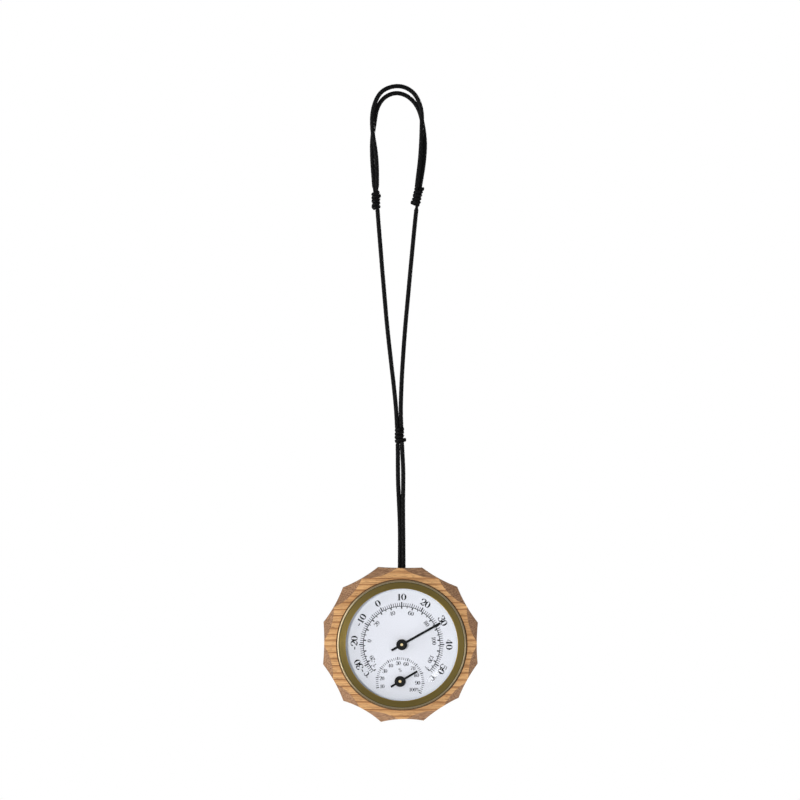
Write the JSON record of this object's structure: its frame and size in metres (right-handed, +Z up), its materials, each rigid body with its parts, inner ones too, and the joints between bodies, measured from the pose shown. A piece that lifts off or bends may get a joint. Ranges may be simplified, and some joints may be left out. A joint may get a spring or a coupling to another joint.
{
  "type": "dial thermometer and hygrometer",
  "caption": "Round dial thermometer with a humidity sub-dial, in a brass bezel and a fluted wooden body that hangs on a knotted black cord loop.",
  "frame": {"origin": "the point of the hanging loop that a hook carries, under the top of the loop, in the cords' own plane", "axes": "+Z up; the dial faces -Y and the flat back faces +Y; +X is to the reader's right"},
  "size_m": [0.0773, 0.0253, 0.3187],
  "materials": {
    "wood": "oiled, open grain",
    "bezel_metal": "satin",
    "glass": "clear, polished",
    "gasket_rubber": "matte",
    "spacer_plastic": "matte",
    "dial_print": "matte white with black print",
    "plate_plastic": "matte",
    "case_metal": "satin lacquer",
    "band_rubber": "matte",
    "hand_black": "satin black",
    "hub_black": "semi-gloss",
    "arbor_brass": "turned",
    "bush_brass": "turned",
    "lever_steel": "stamped",
    "bimetal": "rolled strip",
    "humidity_strip": "coated strip",
    "bridge_brass": "stamped",
    "rivet_steel": "domed",
    "cord": "waxed braid",
    "knot_cord": "waxed braid, wound tight"
  },
  "bodies": {
    "wooden_body": {"wood_body": "wood", "cord_left": "cord", "cord_right": "cord", "knot_left": "knot_cord", "knot_right": "knot_cord", "knot_center": "knot_cord", "knot_stopper": "knot_cord"},
    "insert": {"bezel": "bezel_metal", "lens": "glass", "lens_gasket": "gasket_rubber", "dial_spacer": "spacer_plastic", "dial_plate": "dial_print", "movement_plate": "plate_plastic", "case_cup": "case_metal", "fit_band": "band_rubber", "temperature_bush": "bush_brass", "humidity_bush": "bush_brass", "temperature_bridge": "bridge_brass", "humidity_bridge": "bridge_brass", "bridge_rivets": "rivet_steel"},
    "temperature_setting": {"temperature_lever": "lever_steel", "temperature_coil": "bimetal"},
    "humidity_setting": {"humidity_lever": "lever_steel", "humidity_coil": "humidity_strip"},
    "temperature_pointer": {"temperature_hand": "hand_black", "temperature_hub": "hub_black", "temperature_arbor": "arbor_brass"},
    "humidity_pointer": {"humidity_hand": "hand_black", "humidity_hub": "hub_black", "humidity_arbor": "arbor_brass"}
  },
  "joints": [
    {"name": "insert_pull", "type": "slide", "parent": "wooden_body", "child": "insert", "axis": [0, -1, 0], "range_m": [0, 0.012]},
    {"name": "temperature_set", "type": "hinge", "parent": "insert", "child": "temperature_setting", "pos_m": [0.00235, 0, -0.27415], "axis": [0, 1, 0], "range_deg": [-15, 15]},
    {"name": "humidity_set", "type": "hinge", "parent": "insert", "child": "humidity_setting", "pos_m": [0.0015, 0, -0.29255], "axis": [0, 1, 0], "range_deg": [-15, 15]},
    {"name": "temperature_reading", "type": "hinge", "parent": "temperature_setting", "child": "temperature_pointer", "pos_m": [0.00235, 0, -0.27415], "axis": [0, 1, 0], "range_deg": [-192.8, 71.2], "stiffness_Nm_per_rad": 0.0005, "deforming": ["temperature_coil"]},
    {"name": "humidity_reading", "type": "hinge", "parent": "humidity_setting", "child": "humidity_pointer", "pos_m": [0.0015, 0, -0.29255], "axis": [0, 1, 0], "range_deg": [-165.1, 59.9], "stiffness_Nm_per_rad": 0.0002, "deforming": ["humidity_coil"]}
  ]
}
